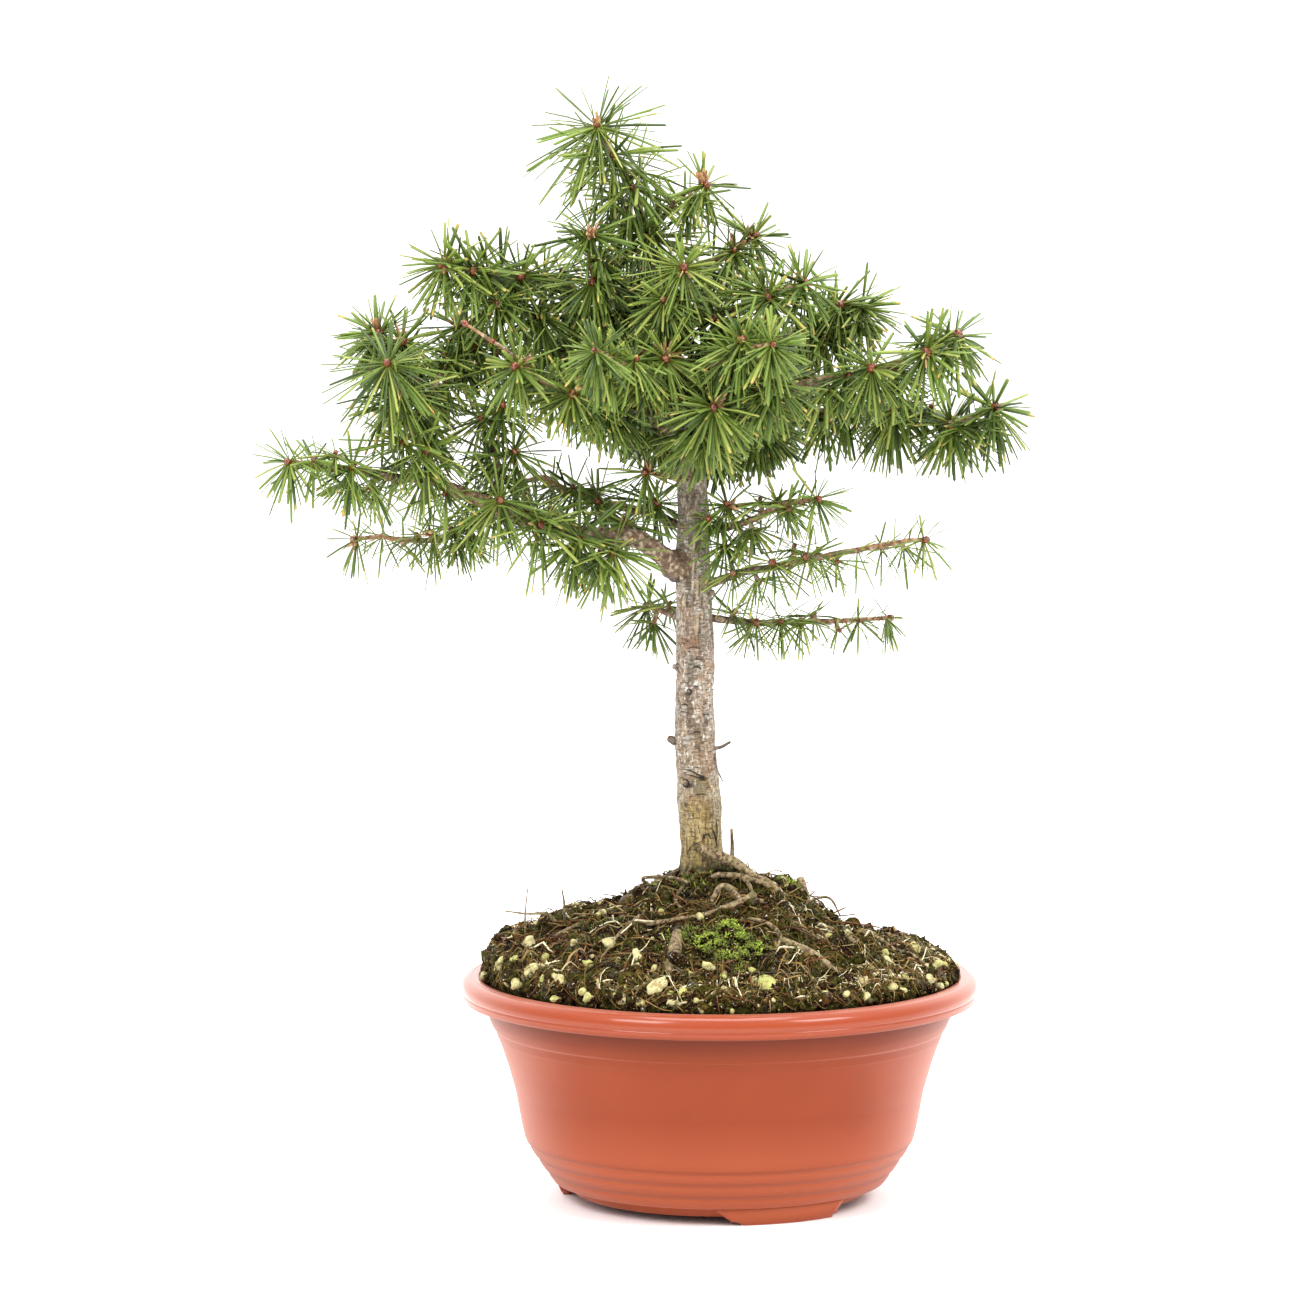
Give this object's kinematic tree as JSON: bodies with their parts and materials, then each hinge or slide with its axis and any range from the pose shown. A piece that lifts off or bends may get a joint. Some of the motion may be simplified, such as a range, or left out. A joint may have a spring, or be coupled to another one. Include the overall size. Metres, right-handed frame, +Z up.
{
  "type": "larch bonsai",
  "caption": "Young larch bonsai with layered sprays of soft needles, growing from a mossy mound of substrate in a round footed bowl.",
  "frame": {"origin": "centre of the object's box, on the surface that the bowl's three feet stand on", "axes": "+Z up along the bowl's axis, -Y towards the front, +X to the right seen from the front"},
  "size_m": [0.3466, 0.2354, 0.504],
  "materials": {
    "bowl_plastic": "satin",
    "substrate": "rough",
    "moss": "rough",
    "bark": "rough",
    "needles": "satin"
  },
  "bodies": {
    "root": {"moss_front": "moss", "pot": "bowl_plastic", "soil": "substrate", "spray_back_high": "needles", "spray_back_left": "needles", "spray_back_low_left": "needles", "spray_back_low_right": "needles", "spray_back_mid": "needles", "spray_back_right": "needles", "spray_crown_left": "needles", "spray_crown_right": "needles", "spray_front_high": "needles", "spray_front_left": "needles", "spray_front_low": "needles", "spray_front_low_right": "needles", "spray_front_mid": "needles", "spray_front_right": "needles", "spray_front_spur": "needles", "spray_front_upper": "needles", "spray_leader": "needles", "spray_left_back_low": "needles", "spray_left_bare": "needles", "spray_left_inner": "needles", "spray_left_low": "needles", "spray_left_mid": "needles", "spray_left_outer": "needles", "spray_left_shoot": "needles", "spray_left_spur": "needles", "spray_left_top": "needles", "spray_left_top_back": "needles", "spray_left_under": "needles", "spray_right_first": "needles", "spray_right_high": "needles", "spray_right_low": "needles", "spray_right_mid": "needles", "spray_right_second": "needles", "spray_right_third": "needles", "spray_right_upper": "needles", "spray_upper_left": "needles", "spray_upper_right": "needles", "trunk": "bark"}
  },
  "joints": []
}
